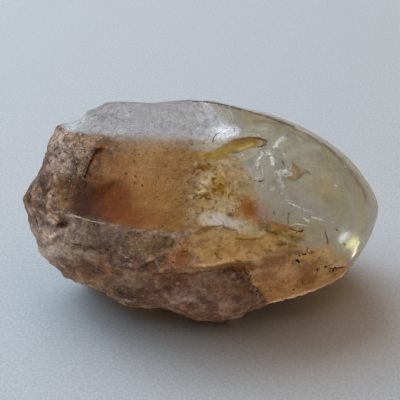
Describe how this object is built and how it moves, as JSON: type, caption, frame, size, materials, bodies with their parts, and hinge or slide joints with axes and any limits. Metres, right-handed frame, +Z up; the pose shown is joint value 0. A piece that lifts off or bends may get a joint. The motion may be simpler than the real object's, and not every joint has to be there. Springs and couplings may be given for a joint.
{
  "type": "lodolite crystal",
  "caption": "Palm-size lodolite (garden quartz) stone: clear polished dome with clay inclusions, scooped amber window, rough rind, rests on a flat.",
  "frame": {"origin": "bottom centre of the stone's box, on the surface that it rests on", "axes": "+Z up, +X along the stone's long axis towards the clear polished end, -Y towards the side with the amber window"},
  "size_m": [0.0602, 0.0314, 0.0299],
  "materials": {
    "quartz": "polished clear dome, satin amber window, rough rind"
  },
  "bodies": {
    "root": {"lodolite_crystal": "quartz"}
  },
  "joints": []
}
